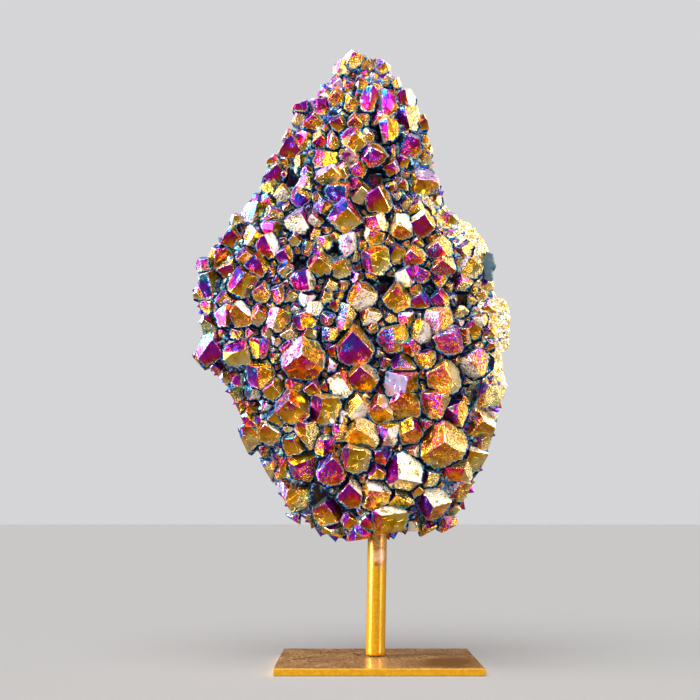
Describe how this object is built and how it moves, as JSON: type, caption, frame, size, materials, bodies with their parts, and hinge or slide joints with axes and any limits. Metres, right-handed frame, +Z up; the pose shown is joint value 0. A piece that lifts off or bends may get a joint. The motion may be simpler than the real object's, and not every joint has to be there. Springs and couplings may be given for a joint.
{
  "type": "crystal druse on stand",
  "caption": "Upright pointed-oval plate of densely grown quartz points with a rainbow metallic film, held on a gold rod over a flat square gold base.",
  "frame": {"origin": "centre of the base plate's underside", "axes": "+Z up through the rod and druse, -Y the way the crystal face looks, +X to the right of someone facing the crystals"},
  "size_m": [0.171, 0.1, 0.3238],
  "materials": {
    "aura_crystal": "quartz with a thin iridescent metallic film, gold to magenta to violet and blue",
    "gold_rod": "satin gold paint, scuffed and smeared with adhesive at the top",
    "gold_plate": "grainy gold paint with a brighter edge"
  },
  "bodies": {
    "root": {"druse": "aura_crystal", "rod": "gold_rod", "base_plate": "gold_plate"}
  },
  "joints": []
}
